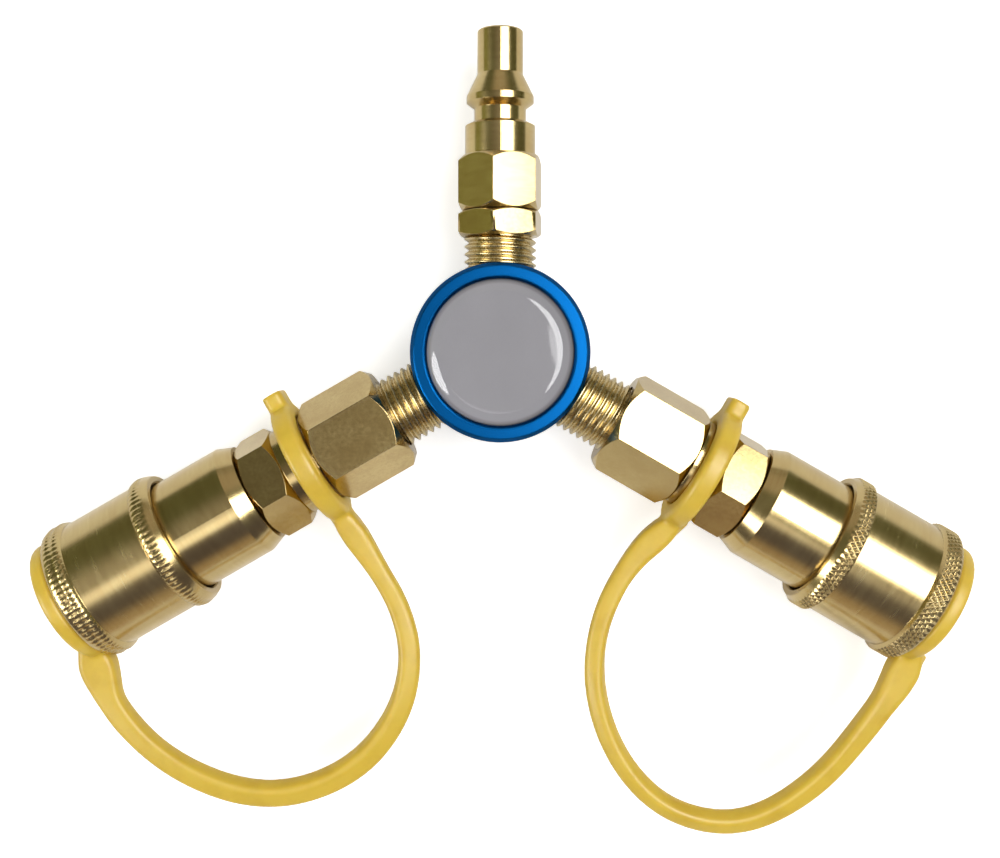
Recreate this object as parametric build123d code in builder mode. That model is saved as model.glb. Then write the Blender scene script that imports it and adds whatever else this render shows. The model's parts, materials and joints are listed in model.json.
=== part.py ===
from build123d import *
import os
from dataclasses import dataclass
from math import asin, cos, hypot, pi, radians, sin, sqrt, tan

# Quick-connect Y fitting: a round hub with one inlet plug and two outlet sockets, each with a tethered plug
# against dust. Millimetres. The fitting lies flat: the hub's axis is +Z, the inlet points along +Y, and the
# origin is the centre of the hub's flat back. Every turned piece is drawn as a half profile of (distance from
# the hub's centre along its arm, radius) and revolved about the arm.

# Hub
hub_diameter = 32.2
hub_thickness = 19.0
hub_edge_chamfer = 0.7
badge_recess_diameter = 26.4
badge_recess_depth = 1.2
recess_edge_chamfer = 0.4
badge_thickness = 0.5
badge_play = 0.1
dome_edge_height = 0.7
dome_rise = 1.2
port_depth = 7.1
passage_diameter = 7.0
outlet_drop_angle = 30.0
inlet_heading = 90.0

# Pipe threads, at the diameter over their crests
pipe_thread_diameter = 13.3
small_thread_diameter = 9.8
thread_play = 0.05
thread_chamfer = 0.6
thread_end_gap = 0.2
joint_gap = 0.1

# Inlet nipple and plug
inlet_thread_show = 5.2
inlet_hex_width = 14.29
inlet_hex_clocking = 21.0
nipple_hex_length = 4.8
small_thread_length = 7.0
inlet_bore_diameter = 5.8
plug_hex_length = 10.1
plug_shoulder_diameter = 13.0
plug_shoulder_length = 5.5
plug_shoulder_chamfer = 0.6
plug_neck_diameter = 9.6
plug_neck_length = 2.6
plug_collar_diameter = 12.5
plug_collar_rise = 1.1
plug_collar_length = 1.2
plug_cone_length = 4.1
nose_diameter = 8.5
nose_length = 8.2
nose_edge_chamfer = 0.3
hex_face_drop = 0.15
plug_neck_step = 0.6
edge_break = 0.3
fuse_depth = 1.0

# Outlet nipples and couplings
left_thread_show = 6.7
right_thread_show = 8.3
nipple_bore_diameter = 7.7
coupling_hex_width = 17.46
coupling_length = 15.4
thread_engagement = 7.4

# Socket tail
left_neck_show = 6.1
right_neck_show = 5.3
tail_neck_drop = 0.33
tail_hex_length = 7.3
tail_bore_diameter = 7.0
tail_mouth_wall = 1.3
tail_mouth_depth = 3.0
spigot_length = 6.0
spigot_tip_drop = 0.5
spigot_tip_length = 1.2
tail_seal_groove_width = 1.6
tail_seal_groove_depth = 1.0

# Socket barrel
barrel_rear_wall = 1.55
barrel_cone_length = 3.0
barrel_body_length = 18.6
chamber_diameter = 13.6
seat_cone_length = 3.1
nose_bore_length = 5.6
nose_play = 0.1
mouth_play = 0.1
mouth_chamfer = 0.4
nose_seal_groove_width = 1.8
nose_seal_groove_depth = 0.95
nose_seal_stand = 0.05
guide_seat_width = 0.85
guide_step = 0.3
seal_play = 0.02

# Valve
guide_thickness = 1.9
guide_play = 0.1
guide_hub_bore_play = 0.1
guide_hole_count = 6
guide_hole_diameter = 2.2
poppet_flow_gap = 1.2
poppet_head_length = 1.6
poppet_stem_diameter = 3.0
poppet_stem_length = 8.1
poppet_face_setback = 0.7
poppet_cone_gap = 0.45
poppet_groove_width = 1.4
poppet_groove_depth = 1.0
poppet_seal_section = 1.2
poppet_travel = 2.8
poppet_groove_land = 0.2
poppet_seal_rise = 0.05
squashed_spring_length = 1.9
valve_spring_wire = 0.5
valve_spring_diameter = 6.8
valve_spring_turns = 2.8
spring_end_gap = 0.05

# Ball lock and sleeve
ball_count = 6
ball_diameter = 3.175
ball_hole_diameter = 3.3
ball_lip_diameter = 3.06
ball_lip_height = 0.15
ball_play = 0.05
ramp_slope = 0.16
ramp_play = 0.02
land_play = 0.25
land_length = 3.0
sleeve_travel = 4.8
sleeve_length = 22.2
sleeve_overhang = 0.2
sleeve_wall = 1.4
skirt_play = 0.3
band_rise = 0.8
rear_lip_length = 0.9
rear_lip_drop = 0.9
rear_band_length = 3.1
front_band_length = 3.8
front_lip_length = 0.5
front_lip_drop = 0.6
band_edge = 0.4
sleeve_mouth_play = 0.2
sleeve_spring_wire = 0.9
sleeve_spring_play = 0.75
sleeve_spring_turns = 3.4
snap_ring_thickness = 1.1
snap_ring_stand = 1.5
snap_ring_groove_depth = 0.7
snap_ring_play = 0.05
snap_ring_opening = 3.0

# Dust plug, its strap and the strap's ring
left_ring_gap = 0.15
right_ring_gap = 1.15
flange_gap = 0.2
flange_inset = 1.7
flange_thickness = 3.0
flange_dome = 0.7
flange_edge_radius = 0.8
stem_play = 0.3
stem_length = 3.7
pilot_ball_gap = 0.53
pilot_length = 5.0
stem_edge = 0.5
ring_play = 0.2
ring_wall = 3.2
ring_width = 4.0
ring_edge = 0.6
tab_length = 2.5
tab_thickness = 3.8
tab_width = 7.0
tab_corner = 1.2
strap_width = 4.4
strap_height = 3.6
strap_corner = 1.2
strap_ring_stand = 0.8
strap_flange_stand = 1.1
lug_root = 3.4
lug_setback = 1.3
bend_share = 0.45

hub_radius = hub_diameter / 2
axis_height = hub_thickness / 2
port_floor = hub_radius - port_depth
thread_radius = pipe_thread_diameter / 2
tail_neck_radius = coupling_hex_width / 2 - tail_neck_drop
guide_bore_radius = chamber_diameter / 2 + guide_seat_width
entry_radius = guide_bore_radius + guide_step
spigot_radius = entry_radius - thread_play
spigot_tip_radius = spigot_radius - spigot_tip_drop
tail_mouth_radius = spigot_tip_radius - tail_mouth_wall

# Places in a socket, counted outwards from the joint between its tail and its barrel
guide_seat = spigot_length + guide_thickness
poppet_head_rear = guide_seat + squashed_spring_length + poppet_travel
poppet_groove_start = poppet_head_rear + poppet_head_length
chamber_end = poppet_groove_start - poppet_groove_land
nose_bore_start = chamber_end + seat_cone_length
nose_bore_radius = nose_diameter / 2 + nose_play
lead_cone_start = nose_bore_start + nose_bore_length
lead_cone_end = lead_cone_start + plug_cone_length
ball_plane = lead_cone_end + plug_collar_length + plug_collar_rise + plug_neck_length / 2
socket_length = ball_plane + plug_neck_length / 2 + plug_shoulder_chamfer + plug_shoulder_length
mouth_radius = plug_shoulder_diameter / 2 + mouth_play
seat_slope = (chamber_diameter / 2 - nose_bore_radius) / seat_cone_length
poppet_face = nose_bore_start - poppet_face_setback
ball_radius = ball_diameter / 2
lip_radius = ball_lip_diameter / 2
ball_rest = mouth_radius + ball_lip_height + sqrt(ball_radius**2 - lip_radius**2) + ball_play
ball_travel = sleeve_travel * ramp_slope
land_radius = ball_rest + ball_radius * sqrt(1 + ramp_slope**2) + ramp_play
sleeve_front = socket_length + sleeve_overhang
sleeve_rear = sleeve_front - sleeve_length
land_rear = ball_plane - land_length
ramp_end = ball_plane + sleeve_travel
snap_ring_start = ramp_end + joint_gap
flange_back = sleeve_front + flange_gap

# Radii in a socket, counted outwards from its balls
nose_tube_radius = land_radius - land_play
snap_ring_groove_radius = nose_tube_radius - snap_ring_groove_depth
snap_ring_radius = nose_tube_radius + snap_ring_stand
sleeve_mouth_radius = snap_ring_radius + sleeve_mouth_play
sleeve_spring_radius = nose_tube_radius + sleeve_spring_play + sleeve_spring_wire / 2
skirt_radius = nose_tube_radius + sleeve_spring_wire + 2 * sleeve_spring_play
barrel_radius = skirt_radius - skirt_play
sleeve_radius = skirt_radius + sleeve_wall
band_radius = sleeve_radius + band_rise
flange_radius = band_radius - flange_inset
ring_inner_radius = tail_neck_radius + ring_play
ring_outer_radius = ring_inner_radius + ring_wall


@dataclass
class Outlet:
    """What differs between the two outlet arms. turn is 1 where the strap loops anticlockwise of the arm."""

    side: str
    heading: float
    turn: int
    thread_show: float
    neck_show: float
    ring_gap: float
    coupling_clocking: float
    tail_clocking: float
    strap_bends: list

    @property
    def coupling_start(self):
        return hub_radius + self.thread_show

    @property
    def coupling_end(self):
        return self.coupling_start + coupling_length

    @property
    def hex_start(self):
        return self.coupling_end + self.neck_show

    @property
    def face(self):
        return self.hex_start + tail_hex_length

    @property
    def ring_start(self):
        return self.coupling_end + self.ring_gap

    def strap_points(self):
        """The strap's corners, as (distance along the arm, distance beside it)."""
        ring_end = (self.ring_start + ring_width / 2, ring_outer_radius + strap_ring_stand)
        plug_along = self.face + flange_back + lug_setback + strap_width / 2
        return [ring_end] + self.strap_bends + [(plug_along, flange_radius + strap_flange_stand)]


outlets = [
    Outlet(
        side="left",
        heading=180 + outlet_drop_angle,
        turn=1,
        thread_show=left_thread_show,
        neck_show=left_neck_show,
        ring_gap=left_ring_gap,
        coupling_clocking=0.0,
        tail_clocking=13.0,
        strap_bends=[
            (39.7, 22), (39.6, 32), (42.6, 41.2), (50, 49.1), (61.2, 53.5),
            (73.9, 52), (83.6, 45.8), (91.6, 34.6), (95, 22),
        ],
    ),
    Outlet(
        side="right",
        heading=-outlet_drop_angle,
        turn=-1,
        thread_show=right_thread_show,
        neck_show=right_neck_show,
        ring_gap=right_ring_gap,
        coupling_clocking=-14.0,
        tail_clocking=-20.0,
        strap_bends=[
            (40, 21.8), (40.7, 34.2), (45.7, 45), (54.9, 53.6), (66, 57.9),
            (76.4, 56.6), (84.6, 51.2), (90.9, 39.6), (93.4, 25.6),
        ],
    ),
]


def direction(heading):
    return Vector(cos(radians(heading)), sin(radians(heading)), 0)


def on_arm(heading, distance):
    return Vector(0, 0, axis_height) + direction(heading) * distance


def arm_axis(heading):
    return Axis(on_arm(heading, 0), direction(heading))


def profile_plane(heading):
    """Its x runs out along the arm and its y is up, so a half profile in it revolves about the arm."""
    return Plane(on_arm(heading, 0), x_dir=direction(heading), z_dir=direction(heading - 90))


def cross_plane(heading, distance):
    """Square to the arm, with y up."""
    return Plane(on_arm(heading, distance), x_dir=direction(heading + 90), z_dir=direction(heading))


def strap_plane(outlet):
    """The plane in which the arms lie, with x out along the arm and y towards the strap's loop."""
    return Plane(on_arm(outlet.heading, 0), x_dir=direction(outlet.heading), z_dir=(0, 0, outlet.turn))


def radial_plane(heading, distance, angle, radius):
    """Square to a radius of the arm, with its z out along that radius. angle is counted from straight up."""
    cross = cross_plane(heading, distance)
    outward = cross.y_dir * cos(radians(angle)) + cross.x_dir * sin(radians(angle))
    return Plane(cross.origin + outward * radius, x_dir=cross.z_dir, z_dir=outward)


def turn_profile(heading, points, mode=Mode.ADD):
    """Revolve a half profile about the arm in the open part."""
    with BuildSketch(profile_plane(heading)) as profile:
        with BuildLine():
            Polyline(*points, close=True)
        make_face()
    revolve(profile.sketch, axis=arm_axis(heading), mode=mode)


def bore(heading, start, end, radius):
    turn_profile(heading, [(start, 0), (end, 0), (end, radius), (start, radius)], mode=Mode.SUBTRACT)


def hexagon(heading, start, length, width, clocking):
    """A hexagon bar whose corners are turned off at both ends, as the only solid of the open part so far."""
    corner = width / sqrt(3)
    flat = width / 2 - hex_face_drop
    end = start + length
    chamfer_length = min(corner - flat, length / 6)
    with BuildSketch(cross_plane(heading, start)) as section:
        RegularPolygon(width / 2, 6, major_radius=False, rotation=clocking)
    extrude(section.sketch, amount=length)
    turn_profile(
        heading,
        [
            (start, 0), (start, flat), (start + chamfer_length, corner),
            (end - chamfer_length, corner), (end, flat), (end, 0),
        ],
        mode=Mode.INTERSECT,
    )


def seal_ring(heading, distance, mid_radius, section):
    with BuildSketch(profile_plane(heading)) as profile:
        with Locations((distance, mid_radius)):
            Circle(section / 2)
    revolve(profile.sketch, axis=arm_axis(heading))


def coil(heading, start, end, diameter, wire, turns):
    """An open coil spring that stops just short of the faces it bears on."""
    height = end - start - wire - 2 * spring_end_gap
    foot = start + wire / 2 + spring_end_gap
    helix = Helix(
        pitch=height / turns,
        height=height,
        radius=diameter / 2,
        center=on_arm(heading, foot),
        direction=direction(heading),
    )
    with BuildSketch(Plane(helix @ 0, z_dir=helix % 0)) as section:
        Circle(wire / 2)
    sweep(section.sketch, path=helix, is_frenet=True)


def save(builder, name):
    builder.part.label = name
    export_step(builder.part, f"parts/{name}.step")


def make_hub_body():
    headings = [inlet_heading] + [outlet.heading for outlet in outlets]
    with BuildPart() as hub:
        with BuildSketch(Plane.XY):
            Circle(hub_radius)
        extrude(amount=hub_thickness)
        chamfer(hub.edges().filter_by(GeomType.CIRCLE), length=hub_edge_chamfer)
        with BuildSketch(Plane.XY.offset(hub_thickness)):
            Circle(badge_recess_diameter / 2)
        extrude(amount=-badge_recess_depth, mode=Mode.SUBTRACT)
        recess_edge = hub.edges().filter_by(GeomType.CIRCLE).group_by(Axis.Z)[-1].sort_by(SortBy.RADIUS)[0]
        chamfer(recess_edge, length=recess_edge_chamfer)
        for heading in headings:
            bore(heading, 0, port_floor, passage_diameter / 2)
            bore(heading, port_floor, hub_radius + fuse_depth, thread_radius + thread_play)
    return hub


def make_badge_disc():
    with BuildPart() as badge:
        with BuildSketch(Plane.XY.offset(hub_thickness - badge_recess_depth)):
            Circle(badge_recess_diameter / 2 - badge_play)
        extrude(amount=badge_thickness)
    return badge


def make_badge_dome():
    """Clear resin poured on the badge: a low lens with an upright edge."""
    floor = hub_thickness - badge_recess_depth + badge_thickness
    edge_top = floor + dome_edge_height
    radius = badge_recess_diameter / 2 - badge_play
    lens_radius = (radius**2 + dome_rise**2) / (2 * dome_rise)
    halfway = edge_top + dome_rise - lens_radius + sqrt(lens_radius**2 - radius**2 / 4)
    with BuildPart() as dome:
        with BuildSketch(Plane.XZ):
            with BuildLine():
                Polyline((0, edge_top + dome_rise), (0, floor), (radius, floor), (radius, edge_top))
                ThreePointArc((radius, edge_top), (radius / 2, halfway), (0, edge_top + dome_rise))
            make_face()
        revolve(axis=Axis.Z)
    return dome


def make_inlet_nipple():
    """Pipe thread into the hub, a hexagon to turn it by, and a smaller thread into the plug."""
    hex_start = hub_radius + inlet_thread_show
    hex_end = hex_start + nipple_hex_length
    inner_end = port_floor + thread_end_gap
    outer_end = hex_end + small_thread_length
    small_radius = small_thread_diameter / 2
    with BuildPart() as nipple:
        hexagon(inlet_heading, hex_start, nipple_hex_length, inlet_hex_width, inlet_hex_clocking)
        turn_profile(
            inlet_heading,
            [
                (inner_end, 0), (inner_end, thread_radius - thread_chamfer),
                (inner_end + thread_chamfer, thread_radius), (hex_start, thread_radius),
                (hex_end, small_radius), (outer_end - thread_chamfer, small_radius),
                (outer_end, small_radius - thread_chamfer), (outer_end, 0),
            ],
        )
        bore(inlet_heading, inner_end, outer_end, inlet_bore_diameter / 2)
    return nipple


def make_inlet_plug():
    """Full-flow plug: hexagon, shoulder, neck for the locking balls, collar, cone and straight nose."""
    hex_start = hub_radius + inlet_thread_show + nipple_hex_length + joint_gap
    hex_end = hex_start + plug_hex_length
    shoulder_end = hex_end + plug_shoulder_length
    neck_start = shoulder_end + plug_shoulder_chamfer
    collar_foot = neck_start + plug_neck_length
    collar_start = collar_foot + plug_collar_rise
    cone_start = collar_start + plug_collar_length
    nose_start = cone_start + plug_cone_length
    nose_end = nose_start + nose_length
    shoulder = plug_shoulder_diameter / 2
    collar = plug_collar_diameter / 2
    neck = plug_neck_diameter / 2
    nose = nose_diameter / 2
    thread_end = hex_start + small_thread_length
    with BuildPart() as plug:
        hexagon(inlet_heading, hex_start, plug_hex_length, inlet_hex_width, inlet_hex_clocking)
        turn_profile(
            inlet_heading,
            [
                (hex_end - fuse_depth, 0), (hex_end - fuse_depth, shoulder), (shoulder_end, shoulder),
                (neck_start, neck + plug_neck_step), (neck_start, neck), (collar_foot, neck),
                (collar_start, collar), (cone_start, collar), (nose_start, nose),
                (nose_end - nose_edge_chamfer, nose), (nose_end, nose - nose_edge_chamfer), (nose_end, 0),
            ],
        )
        bore(inlet_heading, hex_start, nose_end, inlet_bore_diameter / 2)
        bore(inlet_heading, hex_start, thread_end, small_thread_diameter / 2 + thread_play)
    return plug


def make_outlet_nipple(outlet):
    """A pipe nipple threaded over its whole length."""
    start = port_floor + thread_end_gap
    end = outlet.coupling_start + thread_engagement
    with BuildPart() as nipple:
        turn_profile(
            outlet.heading,
            [
                (start, nipple_bore_diameter / 2), (start, thread_radius - thread_chamfer),
                (start + thread_chamfer, thread_radius), (end - thread_chamfer, thread_radius),
                (end, thread_radius - thread_chamfer), (end, nipple_bore_diameter / 2),
            ],
        )
    return nipple


def make_hex_coupling(outlet):
    with BuildPart() as coupling:
        hexagon(
            outlet.heading, outlet.coupling_start, coupling_length, coupling_hex_width,
            outlet.coupling_clocking,
        )
        bore(outlet.heading, outlet.coupling_start, outlet.coupling_end, thread_radius + thread_play)
    return coupling


def make_socket_tail(outlet):
    """Thread into the coupling, round neck that the strap's ring turns on, hexagon and threaded spigot."""
    face = outlet.face
    thread_end = outlet.coupling_end - thread_engagement
    neck_start = outlet.coupling_end + joint_gap
    neck = tail_neck_radius
    spigot = spigot_radius
    tip = spigot_tip_radius
    groove = spigot - tail_seal_groove_depth
    groove_end = face + tail_seal_groove_width
    tip_start = face + spigot_length - spigot_tip_length
    spigot_end = face + spigot_length
    with BuildPart() as tail:
        hexagon(outlet.heading, outlet.hex_start, tail_hex_length, coupling_hex_width, outlet.tail_clocking)
        turn_profile(
            outlet.heading,
            [
                (thread_end, 0), (thread_end, thread_radius - thread_chamfer),
                (thread_end + thread_chamfer, thread_radius), (neck_start, thread_radius),
                (neck_start, neck), (outlet.hex_start + fuse_depth, neck),
                (outlet.hex_start + fuse_depth, groove),
                (groove_end, groove), (groove_end, spigot), (tip_start, spigot), (tip_start, tip),
                (spigot_end, tip), (spigot_end, 0),
            ],
        )
        bore(outlet.heading, thread_end, spigot_end, tail_bore_diameter / 2)
        bore(outlet.heading, spigot_end - tail_mouth_depth, spigot_end, tail_mouth_radius)
    return tail


def make_tail_seal(outlet):
    groove = spigot_radius - tail_seal_groove_depth
    section = entry_radius - groove - 2 * seal_play
    mid_radius = groove + seal_play + section / 2
    with BuildPart() as seal:
        seal_ring(outlet.heading, outlet.face + tail_seal_groove_width / 2, mid_radius, section)
    return seal


def make_socket_barrel(outlet):
    """Body of the socket: valve chamber, seat, bore for a plug's nose, lead-in cone and ball cage."""
    face = outlet.face
    rear = entry_radius + barrel_rear_wall
    body = barrel_radius
    tube = nose_tube_radius
    chamber = chamber_diameter / 2
    groove = snap_ring_groove_radius
    seal_floor = nose_bore_radius + nose_seal_groove_depth
    seal_start = nose_bore_start + (nose_bore_length - nose_seal_groove_width) / 2
    seal_end = seal_start + nose_seal_groove_width
    ring_end = snap_ring_start + snap_ring_thickness + snap_ring_play
    outside = [
        (joint_gap, rear), (barrel_cone_length, body), (barrel_body_length - edge_break, body),
        (barrel_body_length, body - edge_break), (barrel_body_length, tube), (snap_ring_start, tube),
        (snap_ring_start, groove), (ring_end, groove), (ring_end, tube),
        (socket_length - edge_break, tube), (socket_length, tube - edge_break),
    ]
    inside = [
        (socket_length, mouth_radius + mouth_chamfer), (socket_length - mouth_chamfer, mouth_radius),
        (lead_cone_end, mouth_radius), (lead_cone_start, nose_bore_radius), (seal_end, nose_bore_radius),
        (seal_end, seal_floor), (seal_start, seal_floor), (seal_start, nose_bore_radius),
        (nose_bore_start, nose_bore_radius), (chamber_end, chamber), (guide_seat, chamber),
        (guide_seat, guide_bore_radius), (spigot_length - spigot_tip_length, guide_bore_radius),
        (spigot_length - spigot_tip_length, entry_radius), (joint_gap, entry_radius),
    ]
    with BuildPart() as barrel:
        turn_profile(outlet.heading, [(face + along, radius) for along, radius in outside + inside])
        for number in range(ball_count):
            angle = number * 360 / ball_count
            lip = radial_plane(outlet.heading, face + ball_plane, angle, nose_bore_radius)
            with BuildSketch(lip):
                Circle(lip_radius)
            extrude(amount=tube - nose_bore_radius + edge_break, mode=Mode.SUBTRACT)
            cage = radial_plane(outlet.heading, face + ball_plane, angle, mouth_radius + ball_lip_height)
            with BuildSketch(cage):
                Circle(ball_hole_diameter / 2)
            extrude(amount=tube - mouth_radius + edge_break, mode=Mode.SUBTRACT)
    return barrel


def make_valve_guide(outlet):
    """Perforated disc between the tail's spigot and a step in the barrel; the poppet's stem slides in it."""
    start = outlet.face + spigot_length
    hole_radius = guide_hole_diameter / 2
    with BuildPart() as guide:
        with BuildSketch(cross_plane(outlet.heading, start)):
            Circle(guide_bore_radius - guide_play)
            Circle(poppet_stem_diameter / 2 + guide_hub_bore_play, mode=Mode.SUBTRACT)
            with PolarLocations(tail_mouth_radius - hole_radius, guide_hole_count):
                Circle(hole_radius, mode=Mode.SUBTRACT)
        extrude(amount=guide_thickness - joint_gap)
    return guide


def make_valve_poppet(outlet):
    face = outlet.face
    stem = poppet_stem_diameter / 2
    head = chamber_diameter / 2 - poppet_flow_gap
    groove = head - poppet_groove_depth
    groove_end = poppet_groove_start + poppet_groove_width
    stem_end = poppet_head_rear - poppet_stem_length
    slant = sqrt(1 + seat_slope**2)

    def cone(along):
        return chamber_diameter / 2 - seat_slope * (along - chamber_end) - poppet_cone_gap * slant

    points = [
        (stem_end, 0), (stem_end, stem), (poppet_head_rear, stem), (poppet_head_rear, head),
        (poppet_groove_start, head), (poppet_groove_start, groove), (groove_end, groove),
        (groove_end, cone(groove_end)), (poppet_face, cone(poppet_face)), (poppet_face, 0),
    ]
    with BuildPart() as poppet:
        turn_profile(outlet.heading, [(face + along, radius) for along, radius in points])
    return poppet


def make_poppet_seal(outlet):
    """Sits in the poppet's groove and closes on the seat's cone."""
    section = poppet_seal_section
    groove = chamber_diameter / 2 - poppet_flow_gap - poppet_groove_depth
    mid_radius = groove + poppet_seal_rise + section / 2
    slant = sqrt(1 + seat_slope**2)
    reach = section / 2 + seal_play
    along = chamber_end + (chamber_diameter / 2 - mid_radius - reach * slant) / seat_slope
    with BuildPart() as seal:
        seal_ring(outlet.heading, outlet.face + along, mid_radius, section)
    return seal


def make_valve_spring(outlet):
    with BuildPart() as spring:
        coil(
            outlet.heading, outlet.face + guide_seat - joint_gap, outlet.face + poppet_head_rear,
            valve_spring_diameter, valve_spring_wire, valve_spring_turns,
        )
    return spring


def make_nose_seal(outlet):
    section = nose_seal_groove_depth + nose_seal_stand - seal_play
    middle = outlet.face + nose_bore_start + nose_bore_length / 2
    floor = nose_bore_radius + nose_seal_groove_depth
    with BuildPart() as seal:
        seal_ring(outlet.heading, middle, floor - seal_play - section / 2, section)
    return seal


def make_sleeve(outlet):
    """Pull-back sleeve: skirt over the barrel, land and ramp for the balls, and a grip band at each end."""
    face = outlet.face
    body = sleeve_radius
    band = band_radius
    mouth = sleeve_mouth_radius
    rear_band = sleeve_rear + rear_lip_length
    rear_band_end = rear_band + rear_band_length
    front_band_end = sleeve_front - front_lip_length
    front_band = front_band_end - front_band_length
    points = [
        (sleeve_rear, skirt_radius + edge_break), (sleeve_rear, band - rear_lip_drop),
        (rear_band, band - band_edge), (rear_band + band_edge, band), (rear_band_end - band_edge, band),
        (rear_band_end, body), (front_band, body), (front_band + band_edge, band),
        (front_band_end - band_edge, band), (front_band_end, band - band_edge),
        (sleeve_front, band - front_lip_drop - band_edge), (sleeve_front, mouth), (ramp_end, mouth),
        (ramp_end, land_radius + ball_travel), (ball_plane, land_radius), (land_rear, land_radius),
        (land_rear, skirt_radius), (sleeve_rear + edge_break, skirt_radius),
    ]
    with BuildPart() as sleeve:
        turn_profile(outlet.heading, [(face + along, radius) for along, radius in points])
    return sleeve


def make_sleeve_spring(outlet):
    with BuildPart() as spring:
        coil(
            outlet.heading, outlet.face + barrel_body_length, outlet.face + land_rear,
            sleeve_spring_radius * 2, sleeve_spring_wire, sleeve_spring_turns,
        )
    return spring


def make_snap_ring(outlet):
    """Split ring in the barrel's groove that stops the sleeve."""
    start = outlet.face + snap_ring_start
    with BuildPart() as ring:
        with BuildSketch(cross_plane(outlet.heading, start)):
            Circle(snap_ring_radius)
            Circle(snap_ring_groove_radius + snap_ring_play, mode=Mode.SUBTRACT)
            with Locations((0, -snap_ring_radius)):
                Rectangle(snap_ring_opening, snap_ring_radius, mode=Mode.SUBTRACT)
        extrude(amount=snap_ring_thickness)
    return ring


def make_locking_ball(outlet, number):
    place = radial_plane(outlet.heading, outlet.face + ball_plane, number * 360 / ball_count, ball_rest)
    with BuildPart() as ball:
        with Locations(place):
            Sphere(ball_radius)
    return ball


def strap_end_plane(outlet, end, inner):
    """The strap's section plane at one of its ends, with z along the strap towards its middle."""
    frame = strap_plane(outlet)
    here = frame.from_local_coords(Vector(*end, 0))
    there = frame.from_local_coords(Vector(*inner, 0))
    return Plane(here, x_dir=(0, 0, 1), z_dir=there - here)


def strap_lug(outlet, end, inner):
    """A stub of the strap's own section, run from the strap's end into the moulding that carries it."""
    with BuildSketch(strap_end_plane(outlet, end, inner)) as section:
        RectangleRounded(strap_height, strap_width, strap_corner)
    extrude(section.sketch, amount=-lug_root)


def make_strap_ring(outlet):
    """Loose collar on the socket's neck, with a thumb tab opposite the strap."""
    start = outlet.ring_start
    end = start + ring_width
    inner = ring_inner_radius
    outer = ring_outer_radius
    points = outlet.strap_points()
    tab_middle = Plane(
        on_arm(outlet.heading, start + ring_width / 2),
        x_dir=(0, 0, 1),
        z_dir=direction(outlet.heading - 90 * outlet.turn),
    )
    with BuildPart() as ring:
        turn_profile(
            outlet.heading,
            [
                (start, inner), (start, outer - ring_edge), (start + ring_edge, outer),
                (end - ring_edge, outer), (end, outer - ring_edge), (end, inner),
            ],
        )
        strap_lug(outlet, points[0], points[1])
        with BuildSketch(tab_middle.offset(inner + fuse_depth)):
            RectangleRounded(tab_width, tab_thickness, tab_corner)
        extrude(amount=outer + tab_length - inner - fuse_depth)
    return ring


def bend_radii(points):
    """The largest radius at each corner that leaves a little of both runs straight."""
    radii = []
    for before, here, after in zip(points, points[1:], points[2:]):
        run_in = (here[0] - before[0], here[1] - before[1])
        run_out = (after[0] - here[0], after[1] - here[1])
        cross = run_in[0] * run_out[1] - run_in[1] * run_out[0]
        turn = abs(asin(cross / hypot(*run_in) / hypot(*run_out)))
        radii.append(bend_share * min(hypot(*run_in), hypot(*run_out)) / tan(turn / 2))
    return radii


def make_dust_strap(outlet):
    points = outlet.strap_points()
    radii = bend_radii(points)
    with BuildPart() as strap:
        with BuildLine(strap_plane(outlet)) as route:
            FilletPolyline(*points, radius=radii)
        with BuildSketch(strap_end_plane(outlet, points[0], points[1])):
            RectangleRounded(strap_height, strap_width, strap_corner)
        sweep(path=route.wire())
    length = route.wire().length
    section = strap_height * strap_width - (4 - pi) * strap_corner**2
    print(outlet.side, "strap length", round(length, 1), "radii", [round(radius, 1) for radius in radii])
    print("volume over section times length", round(strap.part.volume / section / length, 4))
    return strap


def make_dust_plug(outlet):
    """Flange over the socket's mouth, a stem that fits the mouth and a pilot that clears the balls."""
    back = outlet.face + flange_back
    rim = flange_radius
    rim_front = back + flange_thickness
    pilot = ball_rest - ball_radius - pilot_ball_gap
    stem = mouth_radius - stem_play
    stem_start = back - stem_length
    pilot_start = stem_start - pilot_length
    points = outlet.strap_points()
    with BuildPart() as plug:
        with BuildSketch(profile_plane(outlet.heading)):
            with BuildLine():
                Polyline(
                    (rim_front + flange_dome, 0), (pilot_start, 0), (pilot_start, pilot - stem_edge),
                    (pilot_start + stem_edge, pilot), (stem_start, pilot), (stem_start + stem_edge, stem),
                    (back, stem), (back, rim - stem_edge), (back + stem_edge, rim),
                    (rim_front - flange_edge_radius, rim),
                )
                RadiusArc(
                    (rim_front - flange_edge_radius, rim), (rim_front, rim - flange_edge_radius),
                    flange_edge_radius,
                )
                ThreePointArc(
                    (rim_front, rim - flange_edge_radius),
                    (rim_front + flange_dome * 0.75, rim / 2),
                    (rim_front + flange_dome, 0),
                )
            make_face()
        revolve(axis=arm_axis(outlet.heading))
        strap_lug(outlet, points[-1], points[-2])
    return plug


os.makedirs("parts", exist_ok=True)

save(make_hub_body(), "hub_body")
save(make_badge_disc(), "badge_disc")
save(make_badge_dome(), "badge_dome")
save(make_inlet_nipple(), "inlet_nipple")
save(make_inlet_plug(), "inlet_plug")

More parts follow.
